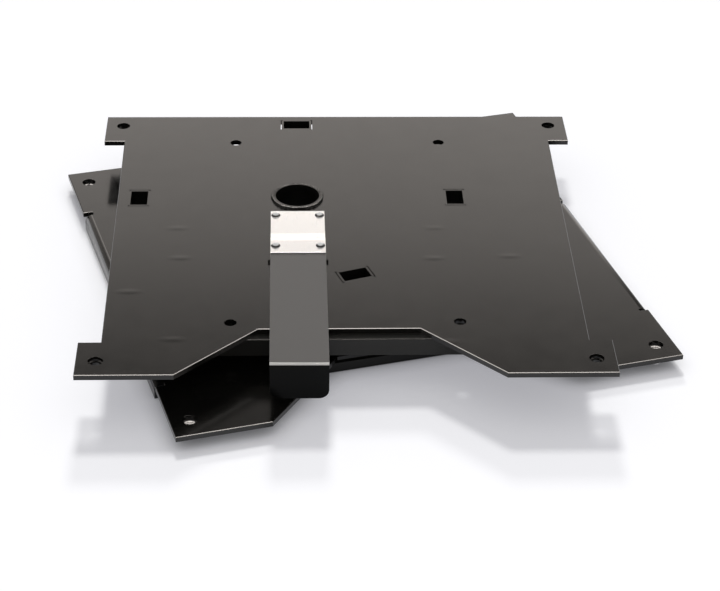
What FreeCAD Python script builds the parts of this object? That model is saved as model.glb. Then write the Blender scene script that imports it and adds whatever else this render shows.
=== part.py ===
"""Swivel seat base for a camper seat: an upper plate that turns over a fixed lower plate,
with a sprung release lever on top.

Millimetres and degrees. The origin is on the swivel axis at the underside of the lower plate.
X runs to the right, Y to the back and Z up, all square to the lower plate. The upper plate is
drawn turned clockwise by the size named turn.
"""
import os
import re

import FreeCAD
import Part
import Sketcher

DOC = FreeCAD.newDocument("swivel_seat_base")
SHEET = DOC.addObject("Spreadsheet::Sheet", "Sizes")

# Each row is a name, a value or a formula, and what it measures. Plate outlines are measured
# from the plate centreline and from its rear pair of ear holes, and forward counts as positive.
SIZES = [
    ("turn", "15.22", "clockwise turn of the upper plate"),
    ("plate_sheet", "5", "thickness of both plates"),
    ("plate_gap", "31.5", "free height between the plates"),
    ("edge_chamfer", "0.5", "chamfer of the plates' upper edges"),
    ("axis_sideways", "40.5", "swivel axis left of the plate centreline"),
    ("axis_forward", "148.5", "swivel axis ahead of the rear ear holes"),
    ("hole_rows", "429", "rear to front ear holes"),
    ("rear_hole_half", "215", "half the rear hole spacing"),
    ("front_hole_half", "212.5", "half the front hole spacing"),
    ("ear_hole", "13", "bore of the ear holes"),
    ("hole_to_side", "17", "ear hole to the outer side of its ear"),
    ("hole_to_front", "21.5", "front holes to the front edge"),
    ("rear_half", "=rear_hole_half + hole_to_side", "half width over the rear ears"),
    ("front_half", "=front_hole_half + hole_to_side", "half width over the front ears"),
    ("side_slope", "=(rear_hole_half - front_hole_half) / hole_rows", "narrowing per mm forward"),
    ("front_edge", "=hole_rows + hole_to_front", "front edge"),
    ("notch_left", "146", "left front corner of both notches"),

    ("upper_back", "20", "upper plate, rear holes to the back edge"),
    ("upper_rear_ear", "32.5", "upper plate, front of the rear ears"),
    ("upper_front_ear", "400", "upper plate, back of the front ears"),
    ("upper_side_rear", "212", "upper plate, half width ahead of the rear ears"),
    ("upper_side_front", "209.7", "upper plate, half width behind the front ears"),
    ("upper_notch_right", "135", "upper notch, right front corner"),
    ("upper_notch_depth", "70.2", "upper notch, depth and chamfer run"),
    ("nut_thread", "10.1", "weld nuts, bore of the thread"),
    ("nut_flats", "19", "weld nuts, across flats"),
    ("nut_height", "6", "weld nuts, height"),
    ("nut_corner", "=nut_flats / 2 / cos(30)", "weld nuts, middle to a corner"),
    ("small_hole", "11", "bore of the four small holes"),
    ("small_hole_rear_half", "101", "half spacing of the rear small holes"),
    ("small_hole_front_half", "100", "half spacing of the front small holes"),
    ("small_hole_rear", "36.5", "rear small holes ahead of the rear ear holes"),
    ("small_hole_front", "370", "front small holes ahead of the rear ear holes"),

    ("lower_back", "21.5", "lower plate, rear holes to the back edge"),
    ("lower_ear_front", "59", "lower plate, front of the rear ears"),
    ("lower_front_ear", "372.4", "lower plate, back of the front ears"),
    ("lower_notch_right", "134.6", "lower recess, right front corner"),
    ("lower_notch_depth", "80.2", "lower recess, depth and chamfer run"),
    ("large_ear_side", "247.5", "outer side of the larger ear"),
    ("large_ear_back", "31", "back edge of the larger ear"),
    ("large_ear_start", "195", "start of the slope to the larger ear"),
    ("large_hole_side", "230.5", "hole of the larger ear, sideways"),
    ("large_hole_back", "10", "hole of the larger ear, behind the other rear hole"),
    ("right_edge", "229", "unbent right edge behind the flange"),
    ("relief_depth", "8.4", "depth of the bend reliefs"),
    ("relief_width", "5", "width of the bend reliefs"),
    ("flange_height", "15", "side flanges, top of the plate to their lower edge"),
    ("flange_overlap", "8", "run of the flange profile into the plate"),
    ("flange_bend", "2", "inner bend radius of the flanges"),
    ("left_flange_start", "=lower_ear_front + relief_width", "left flange, rear end"),
    ("right_relief_start", "161", "right flange, start of its rear relief"),
    ("right_flange_start", "=right_relief_start + relief_width", "right flange, rear end"),
    ("flange_end", "=lower_front_ear - relief_width", "both flanges, front end"),

    ("brace_sheet", "3", "sheet of the two front stiffeners"),
    ("brace_bend", "2", "root radius of the stiffeners' angle"),
    ("brace_corner", "1", "outer corner radius of the stiffeners' angle"),
    ("lower_brace_proud", "2.5", "lower stiffener ahead of the recess edge"),
    ("lower_brace_drop", "9.2", "lower stiffener below the plate"),
    ("lower_brace_web", "30", "lower stiffener, depth under the plate"),
    ("lower_brace_side", "50", "lower stiffener past the recess corners"),
    ("upper_brace_ahead", "9.5", "upper stiffener ahead of the notch edge"),
    ("upper_brace_drop", "16.5", "upper stiffener below the plate"),
    ("upper_brace_web", "35", "upper stiffener, depth under the plate"),
    ("upper_brace_side", "57", "upper stiffener past the notch corners"),

    ("tube_outer", "48.3", "pivot tube, outer diameter"),
    ("tube_wall", "3.2", "pivot tube, wall"),
    ("tube_proud", "2.5", "pivot tube above the upper plate"),
    ("tube_inner", "=tube_outer - 2 * tube_wall", "pivot tube, bore"),
    ("tube_plate_play", "0.2", "hole of the upper plate over the tube"),
    ("bearing_play", "0.1", "bush bore over the tube, on diameter"),
    ("bush_inner", "=tube_outer + bearing_play", "bush bore"),
    ("bush_wall", "1.9", "bush wall"),
    ("bush_outer", "=bush_inner + 2 * bush_wall", "bush outer diameter"),
    ("bush_seat_play", "0.4", "collar bore over the bush, on diameter"),
    ("collar_inner", "=bush_outer + bush_seat_play", "collar bore"),
    ("collar_wall", "4", "collar wall"),
    ("collar_outer", "=collar_inner + 2 * collar_wall", "collar outer diameter"),
    ("collar_play", "1", "upper plate over the collar"),
    ("collar_height", "=plate_gap - collar_play", "collar height"),
    ("bush_flange_sheet", "2", "thickness of the bush's flange"),
    ("bush_flange_outer", "68", "outer diameter of the bush's flange"),
    ("thrust_play", "0.3", "retaining washer under the bush's flange"),
    ("retaining_washer_sheet", "2", "thickness of the retaining washer"),
    ("retaining_washer_outer", "66", "outer diameter of the retaining washer"),
    ("washer_play", "0.2", "retaining washer over the tube, on diameter"),
    ("clip_sheet", "2", "thickness of the retaining clip"),
    ("groove_depth", "1.5", "depth of the clip groove"),
    ("groove_play", "0.1", "groove wider than the clip"),
    ("clip_ring", "5.5", "radial width of the clip"),
    ("clip_mouth", "14", "opening of the clip"),
    ("tube_below_clip", "1.5", "tube below its groove"),
    ("washer_top", "=-bush_flange_sheet - thrust_play", "level of the retaining washer's top"),
    ("clip_top", "=washer_top - retaining_washer_sheet", "level of the clip's top"),
    ("groove_bottom", "=clip_top - clip_sheet - groove_play", "level of the groove's lower side"),
    ("tube_bottom", "=groove_bottom - tube_below_clip", "level of the tube's lower end"),

    ("post_circle", "150.5", "swivel axis to the middle of the glide posts"),
    ("post_length", "30", "glide post, long side"),
    ("post_width", "20", "glide post, short side"),
    ("post_wall", "2", "glide post, wall"),
    ("post_corner", "2.4", "glide post, outer corner radius"),
    ("window_end_gap", "0.9", "window past each short side of its post"),
    ("right_post", "0", "clockwise angle of the right post"),
    ("front_post", "70.1", "clockwise angle of the front post"),
    ("left_post", "180", "clockwise angle of the left post"),
    ("rear_post", "270", "clockwise angle of the rear post"),
    ("shoe_play", "0.3", "glide shoes over the lower plate"),
    ("shoe_pad", "3", "thickness of the shoe's pad"),
    ("shoe_plug", "12", "height of the shoe's plug"),
    ("plug_play", "0.2", "plug inside the post, each side"),

    ("lever_width", "50.4", "release lever, width"),
    ("lever_sheet", "5", "release lever, thickness"),
    ("lever_play", "0.3", "lever over the upper plate"),
    ("lever_rear", "90", "lever, rear end ahead of the axis"),
    ("lever_front", "294.5", "lever, outer face of the handle"),
    ("lever_drop", "35.3", "handle, top of the lever to its lower edge"),
    ("lever_bend", "1", "handle, inner bend radius"),
    ("lever_corner", "3", "handle, outer bend radius of the forged corner"),
    ("handle_corner", "8.5", "handle, lower corner radius"),

    ("blade_ahead", "120.5", "lock blade ahead of the axis"),
    ("blade_inset", "0.2", "lock blade inside the lever, each side"),
    ("blade_width", "=lever_width - 2 * blade_inset", "lock blade, width"),
    ("blade_sheet", "6", "lock blade, thickness"),
    ("nose_width", "26", "lock blade, width of the nose"),
    ("nose_height", "14", "lock blade, height of the nose"),
    ("nose_play", "0.3", "nose over the lower plate"),
    ("slot_side_gap", "2.3", "slot of the upper plate past the blade, each end"),
    ("slot_gap", "1.8", "slot of the upper plate past the blade, front and back"),
    ("lock_slot_gap", "1", "lock slots of the lower plate round the nose"),

    ("leaf_sheet", "1.5", "leaf spring, thickness"),
    ("leaf_overhang", "0.1", "leaf spring past the lever, each side"),
    ("leaf_width", "=lever_width + 2 * leaf_overhang", "leaf spring, width"),
    ("leaf_rear", "28.5", "leaf spring, rear edge ahead of the axis"),
    ("leaf_ramp", "75", "leaf spring, foot of its ramp"),
    ("leaf_step", "88", "leaf spring, head of its ramp"),
    ("leaf_front", "114.1", "leaf spring, front edge"),
    ("leaf_bend", "2", "leaf spring, inner bend radius"),
    ("leaf_play", "0.1", "leaf spring over the lever"),
    ("rivet_edge", "4.8", "rivets inside the leaf's sides"),
    ("rivet_spacing", "=leaf_width - 2 * rivet_edge", "rivets, spacing sideways"),
    ("rivet_rear", "37", "rear rivets ahead of the axis"),
    ("rivet_front", "102.2", "front rivets ahead of the axis"),
    ("rivet_shank", "5", "rivet shank"),
    ("rivet_head", "9", "rivet head"),
    ("rivet_head_height", "2.4", "rivet head, height"),
    ("rivet_head_flat", "5", "rivet head, flat of its crown"),
    ("rivet_play", "0.6", "front rivet holes of the leaf over the shank"),

    ("upper_under", "=plate_sheet + plate_gap", "level of the upper plate's underside"),
    ("upper_top", "=upper_under + plate_sheet", "level of the upper plate's top"),
    ("shoe_bottom", "=plate_sheet + shoe_play", "level of the shoes' underside"),
    ("post_bottom", "=shoe_bottom + shoe_pad", "level of the posts' lower end"),
    ("lever_under", "=upper_top + lever_play", "level of the lever's underside"),
    ("lever_top", "=lever_under + lever_sheet", "level of the lever's top"),
    ("leaf_high", "=lever_top + leaf_play", "level of the leaf's underside over the lever"),
    ("leaf_angle", "=atan((leaf_high - upper_top) / (leaf_step - leaf_ramp))", "slope of the ramp"),
    ("leaf_shift", "=leaf_sheet * tan(leaf_angle / 2)", "upper bends behind the lower bends"),
]

PREFIX = {name: f"Sizes.{name}" for name, _, _ in SIZES}


def fill_sheet():
    """Writes the table of sizes to the sheet, one named cell a row."""
    for row, (name, content, meaning) in enumerate(SIZES, start=1):
        SHEET.set(f"A{row}", name)
        SHEET.set(f"B{row}", content)
        SHEET.set(f"C{row}", meaning)
        SHEET.setAlias(f"B{row}", name)
    DOC.recompute()


def size(formula):
    """Adds the sheet's name to each size in a formula, as the model's expressions need it."""
    return re.sub("[a-z_]+", lambda word: PREFIX.get(word[0], word[0]), formula)


def value(formula):
    """The number that a formula of sizes comes to."""
    result = SHEET.evalExpression(size(formula))
    return float(getattr(result, "Value", result))


def new_body(name, clockwise=None):
    """An empty body, turned clockwise about the swivel axis if an angle is given."""
    body = DOC.addObject("PartDesign::Body", name)
    body.Label = name
    if clockwise:
        body.Placement = FreeCAD.Placement(
            FreeCAD.Vector(0, 0, 0), FreeCAD.Rotation(FreeCAD.Vector(0, 0, -1), value(clockwise)))
        body.setExpression("Placement.Rotation.Angle", size(clockwise))
    return body


def new_sketch(body, name, plane="XY_Plane", across="0", along="0", out="0", axis=None, angle=None):
    """A sketch on one of the body's own planes, moved and turned within it by formulas."""
    sketch = body.newObject("Sketcher::SketchObject", name)
    support = next(item for item in body.Origin.OriginFeatures if item.Role == plane)
    sketch.AttachmentSupport = [(support, "")]
    sketch.MapMode = "FlatFace"
    moved = FreeCAD.Vector(value(across), value(along), value(out))
    turned = FreeCAD.Rotation(axis, value(angle)) if axis else FreeCAD.Rotation()
    sketch.AttachmentOffset = FreeCAD.Placement(moved, turned)
    sketch.setExpression("AttachmentOffset.Base.x", size(across))
    sketch.setExpression("AttachmentOffset.Base.y", size(along))
    sketch.setExpression("AttachmentOffset.Base.z", size(out))
    if axis:
        sketch.setExpression("AttachmentOffset.Rotation.Angle", size(angle))
    return sketch


def plate_sketch(body, name, height="0"):
    """A sketch measured from the plate's centreline and rear ear holes."""
    return new_sketch(body, name, across="axis_sideways", along="axis_forward", out=height)


def fix_point(sketch, geometry, end, formulas, name):
    """Holds one point of a sketch at two formulas."""
    for kind, formula in zip(("DistanceX", "DistanceY"), formulas):
        index = sketch.addConstraint(
            Sketcher.Constraint(kind, -1, 1, geometry, end, value(formula)))
        sketch.renameConstraint(index, f"{name}{kind[-1]}")
        sketch.setExpression(f"Constraints.{name}{kind[-1]}", size(formula))


def rounded_corner(sketch, edge_in, edge_out, corner, middle, radius, formulas, name):
    """Joins two edges by an arc whose sharp corner stays held at two formulas."""
    start = sketch.getPoint(edge_in, 2)
    end = sketch.getPoint(edge_out, 1)
    arc = sketch.addGeometry(Part.Arc(start, middle, end), False)
    near, far = (1, 2) if sketch.getPoint(arc, 1).distanceToPoint(start) < 1e-6 else (2, 1)
    point = sketch.addGeometry(Part.Point(corner), True)
    sketch.addConstraint([
        Sketcher.Constraint("Tangent", edge_in, 2, arc, near),
        Sketcher.Constraint("Tangent", edge_out, 1, arc, far),
        Sketcher.Constraint("PointOnObject", point, 1, edge_in),
        Sketcher.Constraint("PointOnObject", point, 1, edge_out),
    ])
    index = sketch.addConstraint(Sketcher.Constraint("Radius", arc, value(radius)))
    sketch.renameConstraint(index, f"{name}R")
    sketch.setExpression(f"Constraints.{name}R", size(radius))
    fix_point(sketch, point, 1, formulas, name)


def draw_outline(sketch, corners, name="corner"):
    """A closed outline; each corner is two formulas, or three with a bend radius."""
    points = [FreeCAD.Vector(value(corner[0]), value(corner[1]), 0) for corner in corners]
    count = len(points)
    arrive = list(points)
    leave = list(points)
    middles = {}
    for index, corner in enumerate(corners):
        if len(corner) < 3:
            continue
        back = (points[index - 1] - points[index]).normalize()
        ahead = (points[(index + 1) % count] - points[index]).normalize()
        radius = value(corner[2])
        inward = (back + ahead).normalize()
        reach = inward * (radius / back.cross(inward).Length)
        run = reach.dot(back)
        arrive[index] = points[index] + back * run
        leave[index] = points[index] + ahead * run
        middles[index] = points[index] + reach - inward * radius
    edges = [
        sketch.addGeometry(Part.LineSegment(leave[index], arrive[(index + 1) % count]), False)
        for index in range(count)]
    for index, corner in enumerate(corners):
        edge_in = edges[index - 1]
        edge_out = edges[index]
        label = f"{name}{index}"
        if index in middles:
            rounded_corner(sketch, edge_in, edge_out, points[index], middles[index], corner[2],
                           corner[:2], label)
        else:
            sketch.addConstraint(Sketcher.Constraint("Coincident", edge_in, 2, edge_out, 1))
            fix_point(sketch, edge_out, 1, corner[:2], label)


def draw_rectangle(sketch, left, front, right, back, radius=None, name="corner"):
    """A rectangle between four formulas, with rounded corners if a radius is given."""
    corners = [(left, front), (right, front), (right, back), (left, back)]
    if radius:
        corners = [corner + (radius,) for corner in corners]
    draw_outline(sketch, corners, name)


def draw_circle(sketch, across, along, diameter, name="circle"):
    """A circle at two formulas."""
    centre = FreeCAD.Vector(value(across), value(along), 0)
    circle = sketch.addGeometry(
        Part.Circle(centre, FreeCAD.Vector(0, 0, 1), value(diameter) / 2), False)
    fix_point(sketch, circle, 3, (across, along), name)
    index = sketch.addConstraint(Sketcher.Constraint("Diameter", circle, value(diameter)))
    sketch.renameConstraint(index, f"{name}D")
    sketch.setExpression(f"Constraints.{name}D", size(diameter))


def pad(sketch, length, name, both_ways=False):
    """Extrudes a sketch along its normal, or half the length each way."""
    feature = sketch.getParentGeoFeatureGroup().newObject("PartDesign::Pad", name)
    feature.Profile = sketch
    feature.Length = value(length)
    feature.setExpression("Length", size(length))
    feature.Midplane = both_ways
    return feature


def cut_through(sketch, name):
    """Cuts a sketch through the whole body, both ways from its plane."""
    feature = sketch.getParentGeoFeatureGroup().newObject("PartDesign::Pocket", name)
    feature.Profile = sketch
    feature.Type = "ThroughAll"
    feature.Midplane = True
    return feature


def revolve(sketch, name):
    """Turns a sketch once round its own upright axis."""
    feature = sketch.getParentGeoFeatureGroup().newObject("PartDesign::Revolution", name)
    feature.Profile = sketch
    feature.ReferenceAxis = (sketch, ["V_Axis"])
    feature.Angle = 360
    return feature


def edges_where(feature, is_chosen):
    """The names of a feature's edges that pass a test."""
    DOC.recompute()
    return [f"Edge{number}" for number, edge in enumerate(feature.Shape.Edges, start=1)
            if is_chosen(edge)]


def round_edges(feature, edges, radius, name):
    """Rounds some edges of a feature."""
    fillet = feature.getParentGeoFeatureGroup().newObject("PartDesign::Fillet", name)
    fillet.Base = (feature, edges)
    fillet.Radius = value(radius)
    fillet.setExpression("Radius", size(radius))
    return fillet


def chamfer_top(feature, level, name):
    """Chamfers every edge of a plate that lies at a level."""
    height = value(level)
    edges = edges_where(feature, lambda edge: abs(edge.BoundBox.ZMin - height) < 1e-4)
    chamfer = feature.getParentGeoFeatureGroup().newObject("PartDesign::Chamfer", name)
    chamfer.Base = (feature, edges)
    chamfer.Size = value("edge_chamfer")
    chamfer.setExpression("Size", size("edge_chamfer"))
    return chamfer


def ring(body, name, outer, inner, bottom, height):
    """A plain ring round the swivel axis."""
    sketch = new_sketch(body, f"{name}_outline", out=bottom)
    draw_circle(sketch, "0", "0", outer, "outer")
    draw_circle(sketch, "0", "0", inner, "inner")
    return pad(sketch, height, name)


def bent_strip(body, name, front, top, drop, web, middle, width):
    """A thin steel angle under a plate edge, with its leg down at the front."""
    sketch = new_sketch(body, f"{name}_profile", plane="YZ_Plane", out=middle)
    leg_back = f"{front} + brace_sheet"
    foot = f"{top} - {drop}"
    inside = f"{top} - brace_sheet"
    draw_outline(sketch, [
        (front, top, "brace_corner"),
        (front, foot),
        (leg_back, foot),
        (leg_back, inside, "brace_bend"),
        (f"{front} + {web}", inside),
        (f"{front} + {web}", top),
    ])
    return pad(sketch, width, name, both_ways=True)


def ear_holes(sketch):
    """The three ear holes that both plates share."""
    draw_circle(sketch, "-rear_hole_half", "0", "ear_hole", "rear_left")
    draw_circle(sketch, "-front_hole_half", "-hole_rows", "ear_hole", "front_left")
    draw_circle(sketch, "front_hole_half", "-hole_rows", "ear_hole", "front_right")


def lower_outline(sketch):
    """The outline of the lower plate without its side flanges."""
    rear_relief = "rear_half - relief_depth - side_slope * lower_ear_front"
    right_relief = "rear_half - relief_depth - side_slope * right_relief_start"
    front_relief = "rear_half - relief_depth - side_slope * lower_front_ear"
    draw_outline(sketch, [
        ("-rear_half", "lower_back"),
        ("-rear_half", "-lower_ear_front"),
        (f"-1 * ({rear_relief})", "-lower_ear_front"),
        (f"-1 * ({front_relief})", "-lower_front_ear"),
        ("-front_half", "-lower_front_ear"),
        ("-front_half", "-front_edge"),
        ("-notch_left", "-front_edge"),
        ("lower_notch_depth - notch_left", "lower_notch_depth - front_edge"),
        ("lower_notch_right - lower_notch_depth", "lower_notch_depth - front_edge"),
        ("lower_notch_right", "-front_edge"),
        ("front_half", "-front_edge"),
        ("front_half", "-lower_front_ear"),
        (front_relief, "-lower_front_ear"),
        (right_relief, "-right_relief_start"),
        ("right_edge", "-right_relief_start"),
        ("right_edge", "-lower_ear_front"),
        ("large_ear_side", "-lower_ear_front"),
        ("large_ear_side", "large_ear_back"),
        ("large_ear_start + large_ear_back - lower_back", "large_ear_back"),
        ("large_ear_start", "lower_back"),
    ])


def side_flange(body, name, side, start, axis):
    """A flange bent down along one side of the lower plate, in line with the ear's side."""
    sketch = new_sketch(body, f"{name}_profile", plane="XZ_Plane", across="axis_sideways",
                        out=f"{start} - axis_forward", axis=axis, angle="atan(side_slope)")
    outer = f"(rear_half - side_slope * {start})"
    lower_edge = "plate_sheet - flange_height"
    draw_outline(sketch, [
        (f"{side} * {outer}", "plate_sheet", "flange_bend + plate_sheet"),
        (f"{side} * {outer}", lower_edge),
        (f"{side} * ({outer} - plate_sheet)", lower_edge),
        (f"{side} * ({outer} - plate_sheet)", "0", "flange_bend"),
        (f"{side} * ({outer} - plate_sheet - flange_overlap)", "0"),
        (f"{side} * ({outer} - plate_sheet - flange_overlap)", "plate_sheet"),
    ])
    pad(sketch, f"flange_end - {start}", name)


def lock_slots(body):
    """Four slots for the blade's nose, a quarter turn apart."""
    sketch = new_sketch(body, "lock_slot_outline")
    half = "(nose_width / 2 + lock_slot_gap)"
    reach = "(blade_sheet / 2 + lock_slot_gap)"
    draw_rectangle(sketch, f"-1 * {half}", f"-blade_ahead - {reach}", half,
                   f"-blade_ahead + {reach}")
    slot = cut_through(sketch, "lock_slot")
    pattern = body.newObject("PartDesign::PolarPattern", "lock_slots")
    pattern.Originals = [slot]
    pattern.Axis = (sketch, ["N_Axis"])
    pattern.Angle = 360
    pattern.Occurrences = 4
    body.Tip = pattern


def lower_plate():
    """The fixed plate with its ears, side flanges, front recess and pivot bore."""
    body = new_body("lower_plate")
    outline = plate_sketch(body, "lower_plate_outline")
    lower_outline(outline)
    chamfer_top(pad(outline, "plate_sheet", "lower_sheet"), "plate_sheet", "lower_chamfer")
    side_flange(body, "left_flange", "-1", "left_flange_start", FreeCAD.Vector(0, 1, 0))
    side_flange(body, "right_flange", "1", "right_flange_start", FreeCAD.Vector(0, -1, 0))
    holes = plate_sketch(body, "lower_holes_outline")
    ear_holes(holes)
    draw_circle(holes, "large_hole_side", "large_hole_back", "ear_hole", "rear_right")
    draw_circle(holes, "-axis_sideways", "-axis_forward", "collar_inner", "bore")
    cut_through(holes, "lower_holes")
    lock_slots(body)
    return body


def lower_front_stiffener():
    """The angle under the recess edge of the lower plate."""
    body = new_body("lower_front_stiffener")
    front = "axis_forward - front_edge + lower_notch_depth - lower_brace_proud"
    middle = "axis_sideways + (lower_notch_right - notch_left) / 2"
    width = "notch_left + lower_notch_right - 2 * lower_notch_depth + 2 * lower_brace_side"
    bent_strip(body, "lower_angle", front, "0", "lower_brace_drop", "lower_brace_web", middle, width)
    return body


def upper_front_stiffener():
    """The angle under the notch edge of the upper plate, with holes under the small holes."""
    body = new_body("upper_front_stiffener", clockwise="turn")
    front = "axis_forward - front_edge + upper_notch_depth - upper_brace_ahead"
    middle = "axis_sideways + (upper_notch_right - notch_left) / 2"
    width = "notch_left + upper_notch_right - 2 * upper_notch_depth + 2 * upper_brace_side"
    bent_strip(body, "upper_angle", front, "upper_under", "upper_brace_drop", "upper_brace_web",
               middle, width)
    holes = plate_sketch(body, "angle_holes_outline")
    for side, name in (("-1", "left"), ("1", "right")):
        draw_circle(holes, f"{side} * small_hole_front_half", "-small_hole_front", "small_hole", name)
    cut_through(holes, "angle_holes")
    return body


def bearing_collar():
    """The ring that stands on the lower plate round the pivot."""
    body = new_body("bearing_collar")
    ring(body, "collar", "collar_outer", "collar_inner", "plate_sheet", "collar_height")
    return body


def bearing_bush():
    """The plastic sleeve between collar and pivot tube, with a flange under the lower plate."""
    body = new_body("bearing_bush")
    ring(body, "flange", "bush_flange_outer", "bush_inner", "-bush_flange_sheet",
         "bush_flange_sheet")
    ring(body, "sleeve", "bush_outer", "bush_inner", "0", "plate_sheet + collar_height")
    return body


def retaining_washer():
    """The steel washer that turns with the tube under the bush."""
    body = new_body("retaining_washer", clockwise="turn")
    ring(body, "washer", "retaining_washer_outer", "tube_outer + washer_play", "clip_top",
         "retaining_washer_sheet")
    return body


def retaining_clip():
    """The open ring in the tube's groove."""
    body = new_body("retaining_clip", clockwise="turn")
    inner = "tube_outer - 2 * groove_depth"
    ring(body, "clip_ring_full", f"{inner} + 2 * clip_ring", inner, "clip_top - clip_sheet",
         "clip_sheet")
    mouth = new_sketch(body, "mouth_outline")
    draw_rectangle(mouth, "-clip_mouth / 2", "-tube_outer", "clip_mouth / 2", "0")
    cut_through(mouth, "mouth")
    return body


def pivot_tube():
    """The tube of the pivot, open for cables, with the clip's groove near its lower end."""
    body = new_body("pivot_tube", clockwise="turn")
    profile = new_sketch(body, "tube_profile", plane="XZ_Plane")
    groove_floor = "tube_outer / 2 - groove_depth"
    draw_outline(profile, [
        ("tube_inner / 2", "tube_bottom"),
        ("tube_outer / 2", "tube_bottom"),
        ("tube_outer / 2", "groove_bottom"),
        (groove_floor, "groove_bottom"),
        (groove_floor, "clip_top"),
        ("tube_outer / 2", "clip_top"),
        ("tube_outer / 2", "upper_top + tube_proud"),
        ("tube_inner / 2", "upper_top + tube_proud"),
    ])
    revolve(profile, "tube")
    return body


def upper_outline(sketch):
    """The outline of the upper plate with its four ears and front notch."""
    draw_outline(sketch, [
        ("-rear_half", "upper_back"),
        ("-rear_half", "-upper_rear_ear"),
        ("-upper_side_rear", "-upper_rear_ear"),
        ("-upper_side_front", "-upper_front_ear"),
        ("-front_half", "-upper_front_ear"),
        ("-front_half", "-front_edge"),
        ("-notch_left", "-front_edge"),
        ("upper_notch_depth - notch_left", "upper_notch_depth - front_edge"),
        ("upper_notch_right - upper_notch_depth", "upper_notch_depth - front_edge"),
        ("upper_notch_right", "-front_edge"),
        ("front_half", "-front_edge"),
        ("front_half", "-upper_front_ear"),
        ("upper_side_front", "-upper_front_ear"),
        ("upper_side_rear", "-upper_rear_ear"),
        ("rear_half", "-upper_rear_ear"),
        ("rear_half", "upper_back"),
    ])


def upper_plate():
    """The turning plate with its notch, windows, lever slot and holes."""
    body = new_body("upper_plate", clockwise="turn")
    outline = plate_sketch(body, "upper_plate_outline", height="upper_under")
    upper_outline(outline)
    chamfer_top(pad(outline, "plate_sheet", "upper_sheet"), "upper_top", "upper_chamfer")
    holes = plate_sketch(body, "upper_holes_outline")
    ear_holes(holes)
    draw_circle(holes, "rear_hole_half", "0", "ear_hole", "rear_right")
    draw_circle(holes, "-axis_sideways", "-axis_forward", "tube_outer + tube_plate_play", "bore")
    for side, name in (("-1", "left"), ("1", "right")):
        draw_circle(holes, f"{side} * small_hole_rear_half", "-small_hole_rear", "small_hole",
                    f"small_rear_{name}")
        draw_circle(holes, f"{side} * small_hole_front_half", "-small_hole_front", "small_hole",
                    f"small_front_{name}")
    for side, name in (("-1", "left"), ("1", "right")):
        draw_circle(holes, f"{side} * rivet_spacing / 2 - axis_sideways", "-rivet_rear - axis_forward",
                    "rivet_shank", f"rivet_{name}")
    cut_through(holes, "upper_holes")
    slot = new_sketch(body, "slot_outline")
    draw_rectangle(slot, "-blade_width / 2 - slot_side_gap",
                   "-blade_ahead - blade_sheet / 2 - slot_gap", "blade_width / 2 + slot_side_gap",
                   "-blade_ahead + blade_sheet / 2 + slot_gap")
    cut_through(slot, "slot")
    for place in ("right", "front", "left", "rear"):
        window = new_sketch(body, f"{place}_window_outline", axis=FreeCAD.Vector(0, 0, -1),
                            angle=f"{place}_post")
        draw_rectangle(window, "post_circle - post_width / 2", "-post_length / 2 - window_end_gap",
                       "post_circle + post_width / 2", "post_length / 2 + window_end_gap")
        cut_through(window, f"{place}_window")
    return body


def seat_weld_nuts():
    """The hexagon nuts under the four ear holes, which take the seat's bolts."""
    body = new_body("seat_weld_nuts", clockwise="turn")
    outline = plate_sketch(body, "nut_outline", height="upper_under - nut_height")
    places = [
        ("-rear_hole_half", "0", "rear_left"),
        ("rear_hole_half", "0", "rear_right"),
        ("-front_hole_half", "-hole_rows", "front_left"),
        ("front_hole_half", "-hole_rows", "front_right"),
    ]
    for across, along, place in places:
        corners = []
        for sideways, forward in ((1, 0), (0.5, 1), (-0.5, 1), (-1, 0), (-0.5, -1), (0.5, -1)):
            corners.append((f"{across} + {sideways} * nut_corner",
                            f"{along} + {forward} * nut_flats / 2"))
        draw_outline(outline, corners, f"{place}_corner")
        draw_circle(outline, across, along, "nut_thread", f"{place}_thread")
    pad(outline, "nut_height", "nuts")
    return body


def glide_post(place):
    """A short box section, flush with the top of the upper plate."""
    body = new_body(f"glide_post_{place}", clockwise=f"turn + {place}_post")
    outline = new_sketch(body, "post_outline", out="post_bottom")
    draw_rectangle(outline, "post_circle - post_width / 2", "-post_length / 2",
                   "post_circle + post_width / 2", "post_length / 2", "post_corner", "outer")
    draw_rectangle(outline, "post_circle - post_width / 2 + post_wall",
                   "-post_length / 2 + post_wall", "post_circle + post_width / 2 - post_wall",
                   "post_length / 2 - post_wall", name="inner")
    pad(outline, "upper_top - post_bottom", "post")
    return body


def glide_shoe(place):
    """The plastic shoe in the lower end of a post."""
    body = new_body(f"glide_shoe_{place}", clockwise=f"turn + {place}_post")
    pad_outline = new_sketch(body, "pad_outline", out="shoe_bottom")
    draw_rectangle(pad_outline, "post_circle - post_width / 2", "-post_length / 2",
                   "post_circle + post_width / 2", "post_length / 2")
    pad(pad_outline, "shoe_pad", "shoe_sole")
    plug_outline = new_sketch(body, "plug_outline", out="post_bottom")
    half_width = "(post_width / 2 - post_wall - plug_play)"
    half_length = "(post_length / 2 - post_wall - plug_play)"
    draw_rectangle(plug_outline, f"post_circle - {half_width}", f"-1 * {half_length}",
                   f"post_circle + {half_width}", half_length)
    pad(plug_outline, "shoe_plug", "plug")
    return body


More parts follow.
